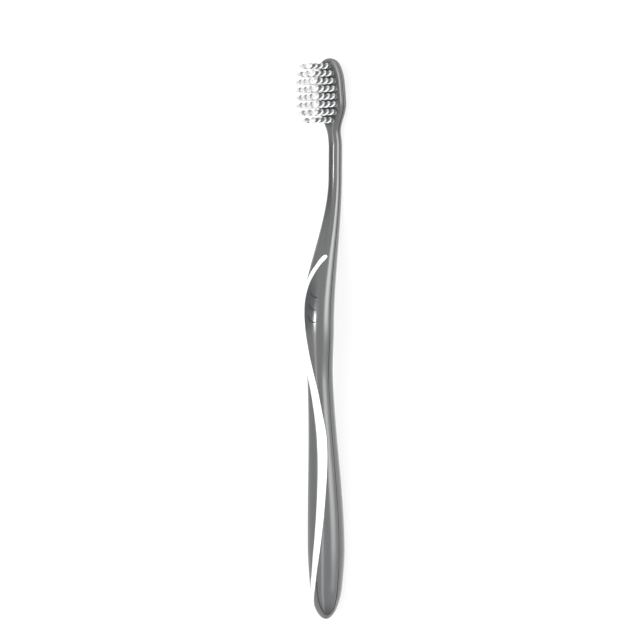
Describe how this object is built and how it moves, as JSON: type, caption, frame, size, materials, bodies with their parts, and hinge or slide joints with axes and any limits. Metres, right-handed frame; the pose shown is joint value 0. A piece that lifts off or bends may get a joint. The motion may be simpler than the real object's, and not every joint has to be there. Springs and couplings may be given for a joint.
{
  "type": "manual toothbrush",
  "caption": "Slim manual toothbrush: a bowed plastic handle with a swelling grip, thin neck and oval head, a white ribbon inlay and rows of upright bristle tufts.",
  "frame": {"origin": "middle of the brush's length and width, on the surface that it lies on", "axes": "+X along the brush from its butt to the tip of its head, +Z the way the bristles point, +Y completes the frame"},
  "size_m": [0.188, 0.0124, 0.0172],
  "materials": {
    "smoke_plastic": "smoke-grey satin gloss moulding",
    "white_inlay": "white satin gloss",
    "anchor_metal": "bright stamped strip",
    "bristle": "white nylon strands"
  },
  "bodies": {
    "root": {"handle_body": "smoke_plastic", "ribbon_inlay": "white_inlay", "anchors_row_1": "anchor_metal", "anchors_row_2": "anchor_metal", "anchors_row_3": "anchor_metal", "anchors_row_4": "anchor_metal", "anchors_row_5": "anchor_metal", "anchors_row_6": "anchor_metal", "anchors_row_7": "anchor_metal", "anchors_row_8": "anchor_metal", "tuft_row_1_1": "bristle", "tuft_row_1_2": "bristle", "tuft_row_2_1": "bristle", "tuft_row_2_2": "bristle", "tuft_row_2_3": "bristle", "tuft_row_3_1": "bristle", "tuft_row_3_2": "bristle", "tuft_row_3_3": "bristle", "tuft_row_3_4": "bristle", "tuft_row_4_1": "bristle", "tuft_row_4_2": "bristle", "tuft_row_4_3": "bristle", "tuft_row_4_4": "bristle", "tuft_row_5_1": "bristle", "tuft_row_5_2": "bristle", "tuft_row_5_3": "bristle", "tuft_row_5_4": "bristle", "tuft_row_6_1": "bristle", "tuft_row_6_2": "bristle", "tuft_row_6_3": "bristle", "tuft_row_6_4": "bristle", "tuft_row_7_1": "bristle", "tuft_row_7_2": "bristle", "tuft_row_7_3": "bristle", "tuft_row_8_1": "bristle", "tuft_row_8_2": "bristle"}
  },
  "joints": []
}
